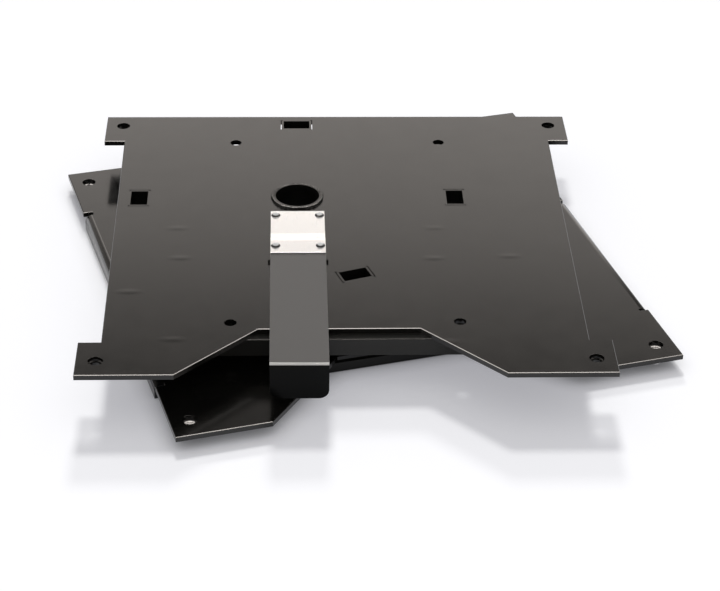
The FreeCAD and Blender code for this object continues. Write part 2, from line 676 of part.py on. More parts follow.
def release_lever():
    """The flat lever with its handle bent down at the front."""
    body = new_body("release_lever", clockwise="turn")
    profile = new_sketch(body, "lever_profile", plane="YZ_Plane")
    handle_back = "lever_sheet - lever_front"
    foot = "lever_top - lever_drop"
    draw_outline(profile, [
        ("-lever_rear", "lever_under"),
        ("-lever_rear", "lever_top"),
        ("-lever_front", "lever_top", "lever_corner"),
        ("-lever_front", foot),
        (handle_back, foot),
        (handle_back, "lever_under", "lever_bend"),
    ])
    bar = pad(profile, "lever_width", "lever_bar", both_ways=True)
    low = value(foot)
    corners = edges_where(
        bar, lambda edge: edge.BoundBox.ZMax < low + 1e-4 and edge.BoundBox.YLength > 1)
    round_edges(bar, corners, "handle_corner", "handle_corners")
    holes = new_sketch(body, "lever_holes_outline")
    for side, name in (("-1", "left"), ("1", "right")):
        draw_circle(holes, f"{side} * rivet_spacing / 2", "-rivet_front", "rivet_shank", name)
    cut_through(holes, "lever_holes")
    return body


def lock_blade():
    """The blade under the lever, through the slot down to the lower plate."""
    body = new_body("lock_blade", clockwise="turn")
    profile = new_sketch(body, "blade_profile", plane="XZ_Plane", out="blade_ahead")
    shoulder = "plate_sheet + nose_play + nose_height"
    nose = "plate_sheet + nose_play"
    draw_outline(profile, [
        ("-blade_width / 2", "lever_under"),
        ("-blade_width / 2", shoulder),
        ("-nose_width / 2", shoulder),
        ("-nose_width / 2", nose),
        ("nose_width / 2", nose),
        ("nose_width / 2", shoulder),
        ("blade_width / 2", shoulder),
        ("blade_width / 2", "lever_under"),
    ])
    pad(profile, "blade_sheet", "blade", both_ways=True)
    return body


def leaf_spring():
    """The leaf that holds the lever down, riveted to the plate and to the lever."""
    body = new_body("leaf_spring", clockwise="turn")
    profile = new_sketch(body, "leaf_profile", plane="YZ_Plane")
    draw_outline(profile, [
        ("-leaf_rear", "upper_top"),
        ("-leaf_ramp", "upper_top", "leaf_bend + leaf_sheet"),
        ("-leaf_step", "leaf_high", "leaf_bend"),
        ("-leaf_front", "leaf_high"),
        ("-leaf_front", "leaf_high + leaf_sheet"),
        ("leaf_shift - leaf_step", "leaf_high + leaf_sheet", "leaf_bend + leaf_sheet"),
        ("leaf_shift - leaf_ramp", "upper_top + leaf_sheet", "leaf_bend"),
        ("-leaf_rear", "upper_top + leaf_sheet"),
    ])
    pad(profile, "leaf_width", "leaf", both_ways=True)
    holes = new_sketch(body, "leaf_holes_outline")
    for side, name in (("-1", "left"), ("1", "right")):
        draw_circle(holes, f"{side} * rivet_spacing / 2", "-rivet_rear", "rivet_shank",
                    f"rear_{name}")
        draw_circle(holes, f"{side} * rivet_spacing / 2", "-rivet_front",
                    "rivet_shank + rivet_play", f"front_{name}")
    cut_through(holes, "leaf_holes")
    return body


def rivet_pair(name, ahead, head_level, end_level):
    """Two round-headed rivets side by side, flush underneath."""
    body = new_body(name, clockwise="turn")
    profile = new_sketch(body, "rivet_profile", plane="XZ_Plane", across="-rivet_spacing / 2",
                         out=ahead)
    draw_outline(profile, [
        ("0", end_level),
        ("0", f"{head_level} + rivet_head_height"),
        ("rivet_head_flat / 2", f"{head_level} + rivet_head_height"),
        ("rivet_head / 2", head_level),
        ("rivet_shank / 2", head_level),
        ("rivet_shank / 2", end_level),
    ])
    rivet = revolve(profile, "rivet")
    pattern = body.newObject("PartDesign::LinearPattern", "rivets")
    pattern.Originals = [rivet]
    pattern.Direction = (profile, ["H_Axis"])
    pattern.Length = value("rivet_spacing")
    pattern.setExpression("Length", size("rivet_spacing"))
    pattern.Occurrences = 2
    body.Tip = pattern
    return body


def build():
    """Makes every piece in turn."""
    fill_sheet()
    pieces = [
        lower_plate(), lower_front_stiffener(), bearing_collar(), bearing_bush(), upper_plate(),
        upper_front_stiffener(), pivot_tube(), retaining_washer(), retaining_clip(),
        seat_weld_nuts(), release_lever(), lock_blade(), leaf_spring(),
    ]
    for place in ("right", "front", "left", "rear"):
        pieces.append(glide_post(place))
        pieces.append(glide_shoe(place))
    pieces.append(rivet_pair(
        "leaf_rear_rivets", "rivet_rear", "upper_top + leaf_sheet", "upper_under"))
    pieces.append(rivet_pair(
        "leaf_front_rivets", "rivet_front", "leaf_high + leaf_sheet", "lever_under"))
    DOC.recompute()
    return pieces


def write(pieces):
    """Checks the whole model and writes each piece to its own file."""
    for item in DOC.Objects:
        if "Invalid" in item.State or "Error" in item.State:
            raise RuntimeError(f"{item.Label} did not build: {item.State}")
    for piece in pieces:
        if piece.Shape.isNull() or not piece.Shape.isValid():
            raise RuntimeError(f"{piece.Label} has no sound shape")
    os.makedirs("parts", exist_ok=True)
    for piece in pieces:
        piece.Shape.exportStep(f"parts/{piece.Label}.step")
        print(piece.Label, round(piece.Shape.Volume), len(piece.Shape.Solids))


write(build())
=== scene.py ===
"""Look of the swivel seat base: powder-coated plates, a bright leaf spring and a pale studio."""
import math

import bmesh
import bpy
from mathutils import Matrix, Vector


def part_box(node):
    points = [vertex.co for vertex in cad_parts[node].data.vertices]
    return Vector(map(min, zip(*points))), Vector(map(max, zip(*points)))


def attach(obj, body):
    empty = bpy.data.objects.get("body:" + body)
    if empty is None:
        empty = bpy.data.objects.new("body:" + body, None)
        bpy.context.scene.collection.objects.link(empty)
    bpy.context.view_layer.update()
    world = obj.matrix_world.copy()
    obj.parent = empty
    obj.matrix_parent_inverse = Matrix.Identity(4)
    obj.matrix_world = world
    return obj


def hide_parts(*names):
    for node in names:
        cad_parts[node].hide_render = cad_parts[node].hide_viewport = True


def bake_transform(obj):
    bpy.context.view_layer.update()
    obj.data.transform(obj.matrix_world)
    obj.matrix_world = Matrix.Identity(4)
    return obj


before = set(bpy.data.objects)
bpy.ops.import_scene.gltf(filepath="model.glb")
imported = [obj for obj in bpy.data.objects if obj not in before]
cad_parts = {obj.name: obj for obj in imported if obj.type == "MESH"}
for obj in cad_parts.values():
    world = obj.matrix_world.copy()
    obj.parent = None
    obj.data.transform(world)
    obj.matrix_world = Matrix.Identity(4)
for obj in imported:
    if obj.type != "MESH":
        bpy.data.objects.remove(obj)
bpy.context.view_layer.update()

# Sizes in metres, angles in degrees.
MM = 0.001
TURN = 15.22                      # clockwise turn of the upper plate about the swivel axis
FLOOR_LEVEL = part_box("lower_plate")[0][2]
PLATE_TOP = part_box("upper_plate")[1][2]
LEVER_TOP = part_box("release_lever")[1][2]

FLOOR_HALF = 8.0
FLOOR_GREY = 0.74
FLOOR_ROUGH = 0.8
GLOW_TINT = (0.93, 0.93, 1.0)
FLOOR_GLOW = 0.37
GLOW_REACH = 0.02                 # the glow fades this close under the object

SKY_LEVEL = 0.4
BRIGHTEST = 30.0
WALL_TINT = (1, 0.935, 0.88)
STUDIO_HEADING = 17.9             # of the back wall, from +Y towards +X
# Reflected level at each elevation in degrees, on each side of the studio.
BACK_WALL = ((0, 1.2), (20, 1.6), (25, 1.85), (28, 1.5), (30.5, 1.25), (32.5, 0.45), (36, 0.1),
             (90, 0.5))
CORNERS = ((0, 0.5), (20, 0.3), (50, 0.2), (54, 30), (62, 30), (66, 0.5), (90, 0.5))
SIDE_WALLS = ((0, 0.12), (34, 0.12), (38, 14), (62, 14), (66, 0.5), (90, 0.5))
FRONT_WALL = ((0, 0.1), (52, 0.1), (55, 22), (63, 22), (67, 0.5), (90, 0.5))
# Parts of a unit direction between which one wall fades into the next.
FRONT_TO_BACK = (-0.2, 0.3)
SIDE_TO_CORNER = (0.38, 0.5)
MIDDLE_TO_SIDE = (0.26, 0.38)
# Heading from +Y towards +X, elevation, strength and spread of each lamp.
KEY = (13.3, 50.5, 1.33, 9)
LOW_BACK = (16.0, 31, 1.1, 8)

CAMERA_PLACE = (-0.48805, -1.75876, 1.0649)
CAMERA_HEADING = 17.867           # from +Y towards +X
CAMERA_TILT = 31.8                # below the horizon
CAMERA_ROLL = 1.134
CAMERA_LENS = 109.37
CAMERA_SENSOR = 36
CAMERA_SHIFT = (-0.0196, -0.0013)
CAMERA_REACH = 50

NOISE_SPAN = (0.3, 0.7)           # where most values of a noise lie
# Scale and detail of each noise.
CLOUDS = (14, 3)
GLOSS_CLOUDS = (45, 4)
PEEL = (900, 2)
LEVER_CLOUDS = (60, 4)
LEVER_PEEL = (1100, 2)
RIVET_GRAIN = (700, 3)
SPARK = (1400, 3)
# Strength and height of each bump.
PEEL_BUMP = (0.3, 0.00004)
LEVER_BUMP = (0.25, 0.00003)
MARK_BUMP = (0.35, 0.00012)
METAL_BUMP = (0.05, 0.00002)
SPARK_BUMP = (0.2, 0.00004)
# Half the spread of each roughness.
COAT_SPREAD = 0.02
METAL_SPREAD = 0.03
RIVET_SPREAD = 0.04

COAT_ROUGH = 0.14
COAT_SHINE = 0.5
ANGLE_SHINE = 0.24
CLOUD_SPAN = (0.35, 0.7)
LEVER_SHINE = 0.08
LEVER_SHADE_TO_SHEEN = (0.35, 0.98)        # upward parts of the normal where the painted shade on the sides gives way to the painted sheen on the top
PAINTED_EDGE_HIGHLIGHT_SPAN = (0.5, 0.93)          # and those between which the edges carry a painted highlight
# Painted shade on the lever's sides and a painted sheen on its top.
LEVER_PAINTED_SHADE = (0.002, 0.0022, 0.0021)
LEVER_PAINTED_SHEEN = (0.13, 0.1245, 0.12)
# Painted highlight on the lever's edges.
PAINTED_EDGE_HIGHLIGHT = (0.85, 0.83, 0.8)
METAL_DETAIL = 5
METAL_STRETCH = 0.05
METAL_SHADE = 0.97
RIVET_SHINE = 0.06
RIVET_PAINTED_SHADE_SPAN = (0.8, 0.88)           # upward parts of the normal between which the painted shade on the rim ends

SOFT_EDGE = 0.08 * MM
LEVER_EDGE = 0.45 * MM
LEAF_EDGE = 0.3 * MM
EDGE_WELD = 0.00001
SHARP_EDGE = 35
SHARP_LEAF_EDGE = 40

LEAF_WIDTH = 50.6 * MM
LEAF_SHEET = 1.5 * MM
LEAF_REAR = -28.5 * MM
LEAF_FOOT = -75.0 * MM
LEAF_HEAD = -88.0 * MM
LEAF_FRONT = -114.1 * MM
LEAF_PLAY = 0.1 * MM
LEAF_BEND = 3.0 * MM
LEAF_STEP = 3 * MM
BEND_STEPS = (0.2, 0.4, 0.6, 0.8)
RIVET_SIDE = 20.5 * MM
RIVET_REAR = -37.0 * MM
RIVET_FRONT = -102.2 * MM
RIVET_RADIUS = 4.4 * MM
RIVET_HEIGHT = 2.4 * MM
RIVET_SHANK = 2.5 * MM
REAR_SHANK = 6.4 * MM
FRONT_SHANK = 6.5 * MM
RIVET_TURNS = 32
RIVET_RINGS = 7
LOWER_HOLES = ((-172, -280.5), (253, -280.5), (-174.5, 148.5), (271, 158.5))   # millimetres
NUT_FLAT = 9.5 * MM
NUT_BORE = 5.05 * MM
NUT_ROOT = 5.9 * MM
NUT_HEIGHT = 6 * MM
NUT_RIDGES = 4
NUT_TURNS = 36
BEAD_TURNS = 360
BEAD_RIPPLES = 37
TUBE_RADIUS = 24.15 * MM
TUBE_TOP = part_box("pivot_tube")[1][2]
MARK_SIZE = (15 * MM, 6 * MM, 20 * MM)
WELD_MARKS = ((-111.5, -57.5), (127.5, -58.5), (-107, -111.5), (123.5, -113.5), (193.5, -110.5),
              (-150.5, -169.5), (-108.5, -247.5), (129.5, -253.5))   # millimetres


def upper(x, y, z):
    """A point given square to the upper plate, turned into the row frame."""
    angle = math.radians(TURN)
    return Vector((x * math.cos(angle) + y * math.sin(angle),
                   y * math.cos(angle) - x * math.sin(angle), z))


def new_object(name, mesh, body=None):
    """Links a mesh as a piece, riding on a CAD body if one is named."""
    piece = bpy.data.objects.new(name, mesh)
    bpy.context.scene.collection.objects.link(piece)
    if body:
        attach(piece, body)
    return piece


def mesh_from(name, build, smooth=True):
    """A mesh made by a function that fills a bmesh."""
    data = bmesh.new()
    build(data)
    bmesh.ops.recalc_face_normals(data, faces=data.faces)
    mesh = bpy.data.meshes.new(name)
    data.to_mesh(mesh)
    data.free()
    if smooth:
        mesh.shade_smooth()
    return mesh


# Materials

def new_material(name):
    """A node material with its shader, and a helper to add and join nodes."""
    material = bpy.data.materials.new(name)
    material.use_nodes = True
    nodes = material.node_tree.nodes
    return material, nodes, material.node_tree.links, nodes["Principled BSDF"]


def noise(nodes, links, place, grain):
    """A noise texture of one scale and detail, read in object space."""
    texture = nodes.new("ShaderNodeTexNoise")
    texture.inputs["Scale"].default_value = grain[0]
    texture.inputs["Detail"].default_value = grain[1]
    links.new(place.outputs["Object"], texture.inputs["Vector"])
    return texture


def ramp(nodes, links, source, span, first, last):
    """A two-colour ramp between two levels of a value."""
    node = nodes.new("ShaderNodeValToRGB")
    node.color_ramp.elements[0].position = span[0]
    node.color_ramp.elements[1].position = span[1]
    node.color_ramp.elements[0].color = (*first, 1)
    node.color_ramp.elements[1].color = (*last, 1)
    links.new(source, node.inputs["Fac"])
    return node


def uneven_gloss(nodes, links, shader, source, rough, spread):
    """Roughness that a noise moves to both sides of its middle."""
    node = nodes.new("ShaderNodeMapRange")
    node.inputs["From Min"].default_value = NOISE_SPAN[0]
    node.inputs["From Max"].default_value = NOISE_SPAN[1]
    node.inputs["To Min"].default_value = rough - spread
    node.inputs["To Max"].default_value = rough + spread
    links.new(source, node.inputs["Value"])
    links.new(node.outputs["Result"], shader.inputs["Roughness"])


def bump(nodes, links, source, relief, under=None):
    """A bump node of one strength and height, on top of another if one is given."""
    node = nodes.new("ShaderNodeBump")
    node.inputs["Strength"].default_value = relief[0]
    node.inputs["Distance"].default_value = relief[1]
    links.new(source, node.inputs["Height"])
    if under:
        links.new(under.outputs["Normal"], node.inputs["Normal"])
    return node


def turned_place(nodes, links, place):
    """Object space, turned square to the upper plate."""
    turn = nodes.new("ShaderNodeVectorRotate")
    turn.rotation_type = "Z_AXIS"
    turn.inputs["Angle"].default_value = math.radians(TURN)
    links.new(place.outputs["Object"], turn.inputs["Vector"])
    return turn.outputs["Vector"]


def upward(nodes, links):
    """The upward part of the surface normal."""
    surface = nodes.new("ShaderNodeNewGeometry")
    split = nodes.new("ShaderNodeSeparateXYZ")
    links.new(surface.outputs["Normal"], split.inputs["Vector"])
    return split.outputs["Z"]


def powder_coat(name, dark, light, rough, marks=(), shine=COAT_SHINE):
    """Semi-gloss black powder coat: fine orange peel, faint clouding in colour and gloss."""
    material, nodes, links, shader = new_material(name)
    place = nodes.new("ShaderNodeTexCoord")
    cloud = noise(nodes, links, place, CLOUDS)
    colour = ramp(nodes, links, cloud.outputs["Fac"], CLOUD_SPAN, dark, light)
    links.new(colour.outputs["Color"], shader.inputs["Base Color"])
    gloss = noise(nodes, links, place, GLOSS_CLOUDS)
    uneven_gloss(nodes, links, shader, gloss.outputs["Fac"], rough, COAT_SPREAD)
    shader.inputs["Specular IOR Level"].default_value = shine
    peel = noise(nodes, links, place, PEEL)
    fine = bump(nodes, links, peel.outputs["Fac"], PEEL_BUMP)
    if marks:
        fine = weld_marks(nodes, links, place, marks, fine)
    links.new(fine.outputs["Normal"], shader.inputs["Normal"])
    return material


def weld_marks(nodes, links, place, marks, under):
    """Faint swellings where the posts and the stiffener are welded underneath."""
    turned = turned_place(nodes, links, place)
    total = None
    for across, along in marks:
        local = nodes.new("ShaderNodeMapping")
        local.vector_type = "TEXTURE"
        local.inputs["Location"].default_value = (across * MM, along * MM, PLATE_TOP)
        local.inputs["Scale"].default_value = MARK_SIZE
        links.new(turned, local.inputs["Vector"])
        reach = nodes.new("ShaderNodeVectorMath")
        reach.operation = "LENGTH"
        links.new(local.outputs["Vector"], reach.inputs[0])
        sink = nodes.new("ShaderNodeMapRange")
        sink.interpolation_type = "SMOOTHSTEP"
        sink.inputs["From Max"].default_value = 1.0
        sink.inputs["To Min"].default_value = 1.0
        sink.inputs["To Max"].default_value = 0.0
        links.new(reach.outputs["Value"], sink.inputs["Value"])
        if total:
            both = nodes.new("ShaderNodeMath")
            links.new(total, both.inputs[0])
            links.new(sink.outputs["Result"], both.inputs[1])
            total = both.outputs["Value"]
        else:
            total = sink.outputs["Result"]
    return bump(nodes, links, total, MARK_BUMP, under)


def lever_coat(name, rough):
    """The powder coat of the lever, with painted shade on its sides, a painted sheen on its upward face
    and a painted highlight on its edges.
    """
    material, nodes, links, shader = new_material(name)
    place = nodes.new("ShaderNodeTexCoord")
    # Painted shade on the sides, painted sheen on the top, painted highlight on the edges between.
    colour = ramp(nodes, links, upward(nodes, links), LEVER_SHADE_TO_SHEEN, LEVER_PAINTED_SHADE, LEVER_PAINTED_SHEEN)
    # A painted highlight on the edges, between the sides and the top.
    for stop in PAINTED_EDGE_HIGHLIGHT_SPAN:
        colour.color_ramp.elements.new(stop).color = (*PAINTED_EDGE_HIGHLIGHT, 1)
    links.new(colour.outputs["Color"], shader.inputs["Base Color"])
    gloss = noise(nodes, links, place, LEVER_CLOUDS)
    uneven_gloss(nodes, links, shader, gloss.outputs["Fac"], rough, COAT_SPREAD)
    shader.inputs["Specular IOR Level"].default_value = LEVER_SHINE
    peel = noise(nodes, links, place, LEVER_PEEL)
    fine = bump(nodes, links, peel.outputs["Fac"], LEVER_BUMP)
    links.new(fine.outputs["Normal"], shader.inputs["Normal"])
    return material


def bright_metal(name, colour, rough, grain):
    """Plated steel with a faint rolled grain along the lever."""
    material, nodes, links, shader = new_material(name)
    shader.inputs["Metallic"].default_value = 1.0
    place = nodes.new("ShaderNodeTexCoord")
    stretch = nodes.new("ShaderNodeMapping")
    stretch.inputs["Scale"].default_value = (grain, grain * METAL_STRETCH, grain)
    links.new(turned_place(nodes, links, place), stretch.inputs["Vector"])
    lines = nodes.new("ShaderNodeTexNoise")
    lines.inputs["Scale"].default_value = 1.0
    lines.inputs["Detail"].default_value = METAL_DETAIL
    links.new(stretch.outputs["Vector"], lines.inputs["Vector"])
    shade = tuple(part * METAL_SHADE for part in colour)
    tint = ramp(nodes, links, lines.outputs["Fac"], NOISE_SPAN, shade, colour)
    links.new(tint.outputs["Color"], shader.inputs["Base Color"])
    uneven_gloss(nodes, links, shader, lines.outputs["Fac"], rough, METAL_SPREAD)
    fine = bump(nodes, links, lines.outputs["Fac"], METAL_BUMP)
    links.new(fine.outputs["Normal"], shader.inputs["Normal"])
    return material


def rivet_metal(name, painted_rim_shade, colour, rough):
    """Bright rivet heads with painted shade on their steep rims."""
    material, nodes, links, shader = new_material(name)
    shader.inputs["Specular IOR Level"].default_value = RIVET_SHINE
    # Painted shade on the rivets' steep rims.
    tint = ramp(nodes, links, upward(nodes, links), RIVET_PAINTED_SHADE_SPAN, painted_rim_shade, colour)
    links.new(tint.outputs["Color"], shader.inputs["Base Color"])
    place = nodes.new("ShaderNodeTexCoord")
    grain = noise(nodes, links, place, RIVET_GRAIN)
    uneven_gloss(nodes, links, shader, grain.outputs["Fac"], rough, RIVET_SPREAD)
    return material


def plastic(name, dark, light, rough):
    """Moulded plastic with a fine spark texture."""
    material, nodes, links, shader = new_material(name)
    place = nodes.new("ShaderNodeTexCoord")
    grain = noise(nodes, links, place, SPARK)
    colour = ramp(nodes, links, grain.outputs["Fac"], NOISE_SPAN, dark, light)
    links.new(colour.outputs["Color"], shader.inputs["Base Color"])
    shader.inputs["Roughness"].default_value = rough
    fine = bump(nodes, links, grain.outputs["Fac"], SPARK_BUMP)
    links.new(fine.outputs["Normal"], shader.inputs["Normal"])
    return material


DARK = (0.006, 0.0057, 0.0051)
LIGHT = (0.009, 0.0086, 0.0076)
COAT = powder_coat("black_powder_coat", DARK, LIGHT, COAT_ROUGH)
UPPER_COAT = powder_coat("upper_powder_coat", DARK, LIGHT, COAT_ROUGH, WELD_MARKS)
ANGLE_COAT = powder_coat("angle_powder_coat", (0.015, 0.0147, 0.0135), (0.02, 0.0196, 0.018), 0.16,
                         shine=ANGLE_SHINE)
LEVER_COAT = lever_coat("lever_coat_painted_light", 0.25)
LEAF = bright_metal("bright_leaf", (0.98, 0.99, 1.0), 0.25, 900)
# The first colour is painted shade on the rivets' steep rims.
RIVET = rivet_metal("rivet_metal", (0.02, 0.02, 0.02), (0.7, 0.7, 0.69), 0.4)
ZINC = bright_metal("zinc_plate", (0.62, 0.62, 0.61), 0.33, 700)
ACETAL = plastic("natural_acetal", (0.66, 0.64, 0.58), (0.74, 0.72, 0.66), 0.42)
NYLON = plastic("black_nylon", (0.012, 0.012, 0.012), (0.02, 0.02, 0.02), 0.5)

FINISHES = {
    "lower_plate": COAT, "lower_front_stiffener": ANGLE_COAT, "bearing_collar": COAT,
    "upper_plate": UPPER_COAT, "upper_front_stiffener": ANGLE_COAT, "pivot_tube": COAT,
    "seat_weld_nuts": COAT,
    "release_lever": LEVER_COAT, "lock_blade": COAT, "bearing_bush": ACETAL,
    "retaining_washer": ZINC, "retaining_clip": ZINC,
}
for place in ("right", "front", "left", "rear"):
    FINISHES[f"glide_post_{place}"] = COAT
    FINISHES[f"glide_shoe_{place}"] = NYLON

for node_name, material in FINISHES.items():
    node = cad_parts[node_name]
    node.data.materials.clear()
    node.data.materials.append(material)


def soften_edges(node_name, width):
    """Rounds the sharp edges of a CAD node a little, so that they catch the light."""
    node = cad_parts[node_name]
    weld = node.modifiers.new("weld", "WELD")
    weld.merge_threshold = EDGE_WELD
    bevel = node.modifiers.new("bevel", "BEVEL")
    bevel.width = width
    bevel.segments = 3
    bevel.limit_method = "ANGLE"
    bevel.angle_limit = math.radians(SHARP_EDGE)
    bevel.harden_normals = True


for node_name in ("upper_plate", "lower_plate", "upper_front_stiffener", "lower_front_stiffener"):
    soften_edges(node_name, SOFT_EDGE)
soften_edges("release_lever", LEVER_EDGE)


# Leaf spring, built along its length

def leaf_line():
    """The leaf's underside as (forward, height) points, with rounded bends."""
    low = PLATE_TOP
    high = LEVER_TOP + LEAF_PLAY
    corners = [(LEAF_FOOT, low), (LEAF_HEAD, high)]
    points = []
    ends = [(LEAF_REAR, low)] + corners + [(LEAF_FRONT, high)]
    for index in (0, 1, 2):
        start = Vector(ends[index])
        end = Vector(ends[index + 1])
        way = (end - start).normalized()
        first = start if index == 0 else start + way * LEAF_BEND
        last = end if index == 2 else end - way * LEAF_BEND
        steps = max(2, round((last - first).length / LEAF_STEP))
        points += [first.lerp(last, step / steps) for step in range(steps + 1)]
        if index < 2:
            after = (Vector(ends[index + 2]) - end).normalized()
            leave = end + after * LEAF_BEND
            for step in BEND_STEPS:
                points.append(last.lerp(end, step).lerp(end.lerp(leave, step), step))
    return points


def build_leaf(data):
    """A bent strip of even thickness."""
    line = leaf_line()
    rows = []
    for index, point in enumerate(line):
        ahead = line[min(index + 1, len(line) - 1)] - line[max(index - 1, 0)]
        normal = Vector((ahead.y, -ahead.x)).normalized()
        top = point + normal * LEAF_SHEET
        half = LEAF_WIDTH / 2
        rows.append([data.verts.new(upper(side * half, spot.x, spot.y))
                     for spot in (point, top) for side in (-1, 1)])
    for before, after in zip(rows, rows[1:]):
        for first, second in ((0, 1), (1, 3), (3, 2), (2, 0)):
            data.faces.new((before[first], before[second], after[second], after[first]))
    for row in (rows[0], rows[-1]):
        data.faces.new((row[0], row[1], row[3], row[2]))


leaf = new_object("leaf", mesh_from("leaf", build_leaf))
leaf_bevel = leaf.modifiers.new("bevel", "BEVEL")
leaf_bevel.width = LEAF_EDGE
leaf_bevel.segments = 2
leaf_bevel.limit_method = "ANGLE"
leaf_bevel.angle_limit = math.radians(SHARP_LEAF_EDGE)
leaf_bevel.harden_normals = True
leaf.data.materials.append(LEAF)
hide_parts("leaf_spring")
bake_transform(leaf)


# Rivets

def add_rivet(data, x, y, level, depth):
    """A domed head on its flat underside, with a short shank below."""
    radius = (RIVET_RADIUS ** 2 + RIVET_HEIGHT ** 2) / (2 * RIVET_HEIGHT)
    reach = math.asin(RIVET_RADIUS / radius)
    profile = [(radius * math.sin(reach * step / RIVET_RINGS),
                level + RIVET_HEIGHT - radius * (1 - math.cos(reach * step / RIVET_RINGS)))
               for step in range(1, RIVET_RINGS + 1)]
    profile += [(RIVET_RADIUS, level), (RIVET_SHANK, level), (RIVET_SHANK, level - depth)]
    crown = data.verts.new(upper(x, y, level + RIVET_HEIGHT))
    foot = data.verts.new(upper(x, y, level - depth))
    loops = []
    for out, height in profile:
        loops.append([data.verts.new(upper(x + out * math.cos(2 * math.pi * turn / RIVET_TURNS),
                                           y + out * math.sin(2 * math.pi * turn / RIVET_TURNS),
                                           height)) for turn in range(RIVET_TURNS)])
    for turn in range(RIVET_TURNS):
        following = (turn + 1) % RIVET_TURNS
        data.faces.new((crown, loops[0][turn], loops[0][following]))
        data.faces.new((foot, loops[-1][following], loops[-1][turn]))
        for before, after in zip(loops, loops[1:]):
            data.faces.new((before[turn], after[turn], after[following], before[following]))


def rivets(name, body, forward, level, depth, node_name):
    """Both rivets of one row, standing for their CAD node."""
    def build(data):
        for side in (-1, 1):
            add_rivet(data, side * RIVET_SIDE, forward, level, depth)
    piece = new_object(name, mesh_from(name, build), body)
    piece.data.materials.append(RIVET)
    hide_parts(node_name)


rivets("rear_rivets", "carrier", RIVET_REAR, PLATE_TOP + LEAF_SHEET, REAR_SHANK,
       "leaf_rear_rivets")
rivets("front_rivets", "lever", RIVET_FRONT, LEVER_TOP + LEAF_PLAY + LEAF_SHEET, FRONT_SHANK,
       "leaf_front_rivets")


def join_rows(data, rows):
    """Faces round a closed ring of like sections."""
    for index, row in enumerate(rows):
        following = rows[(index + 1) % len(rows)]
        count = len(row)
        for turn in range(count):
            data.faces.new((row[turn], row[(turn + 1) % count], following[(turn + 1) % count],
                            following[turn]))


# Weld bead over the upper end of the pivot tube

def build_weld(data):
    """A bead over the tube's end down to the plate, uneven like a hand weld."""
    rows = []
    for step in range(BEAD_TURNS):
        angle = 2 * math.pi * step / BEAD_TURNS
        ripple = 0.5 + 0.5 * math.sin(angle * BEAD_RIPPLES + 0.8 * math.sin(angle * 7))
        drift = math.sin(angle * 5 + 1) + 0.7 * math.sin(angle * 13 + 2.3)
        crown = TUBE_TOP + (0.35 + 0.45 * ripple + 0.15 * drift) * MM
        out = TUBE_RADIUS + (0.1 + 0.5 * ripple + 0.35 * drift) * MM
        inside = TUBE_RADIUS - (2.3 + 0.25 * drift) * MM
        middle = (inside + out) / 2
        profile = [(inside, TUBE_TOP - 0.2 * MM), (inside + 0.1 * MM, TUBE_TOP + 0.15 * MM),
                   (middle - 0.7 * MM, crown - 0.08 * MM), (middle, crown),
                   (middle + 0.6 * MM, crown - 0.12 * MM), (out - 0.15 * MM, TUBE_TOP - 0.1 * MM),
                   (out, TUBE_TOP - 0.7 * MM), (out + 0.05 * MM, TUBE_TOP - 1.4 * MM),
                   (out + 0.1 * MM, PLATE_TOP - 0.05 * MM),
                   (TUBE_RADIUS - 0.5 * MM, PLATE_TOP - 0.05 * MM)]
        rows.append([data.verts.new((far * math.cos(angle), far * math.sin(angle), up))
                     for far, up in profile])
    join_rows(data, rows)


weld_bead = new_object("pivot_weld_bead", mesh_from("pivot_weld_bead", build_weld), "carrier")
weld_bead.data.materials.append(COAT)


# Weld nuts under the lower plate's ear holes

def build_lower_nuts(data):
    """Hexagonal nuts with a ridged bore, flush under the lower plate."""
    steps = NUT_RIDGES * 2
    for across, along in LOWER_HOLES:
        rows = []
        for turn in range(NUT_TURNS):
            angle = 2 * math.pi * turn / NUT_TURNS
            out = NUT_FLAT / math.cos(angle % (math.pi / 3) - math.pi / 6)
            profile = [(out, 0), (out, -NUT_HEIGHT)]
            profile += [(NUT_BORE if step % 2 else NUT_ROOT, NUT_HEIGHT * (step / steps - 1))
                        for step in range(steps + 1)]
            rows.append([data.verts.new((across * MM + far * math.cos(angle),
                                         along * MM + far * math.sin(angle), up))
                         for far, up in profile])
        join_rows(data, rows)


lower_nuts = new_object("lower_weld_nuts", mesh_from("lower_weld_nuts", build_lower_nuts, smooth=False),
                        "base")
lower_nuts.data.materials.append(COAT)


# Floor, lights and camera

def build_floor(data):
    """A wide square at the level of the flanges' lower edges."""
    data.faces.new([data.verts.new((x * FLOOR_HALF, y * FLOOR_HALF, FLOOR_LEVEL))
                    for x, y in ((-1, -1), (1, -1), (1, 1), (-1, 1))])


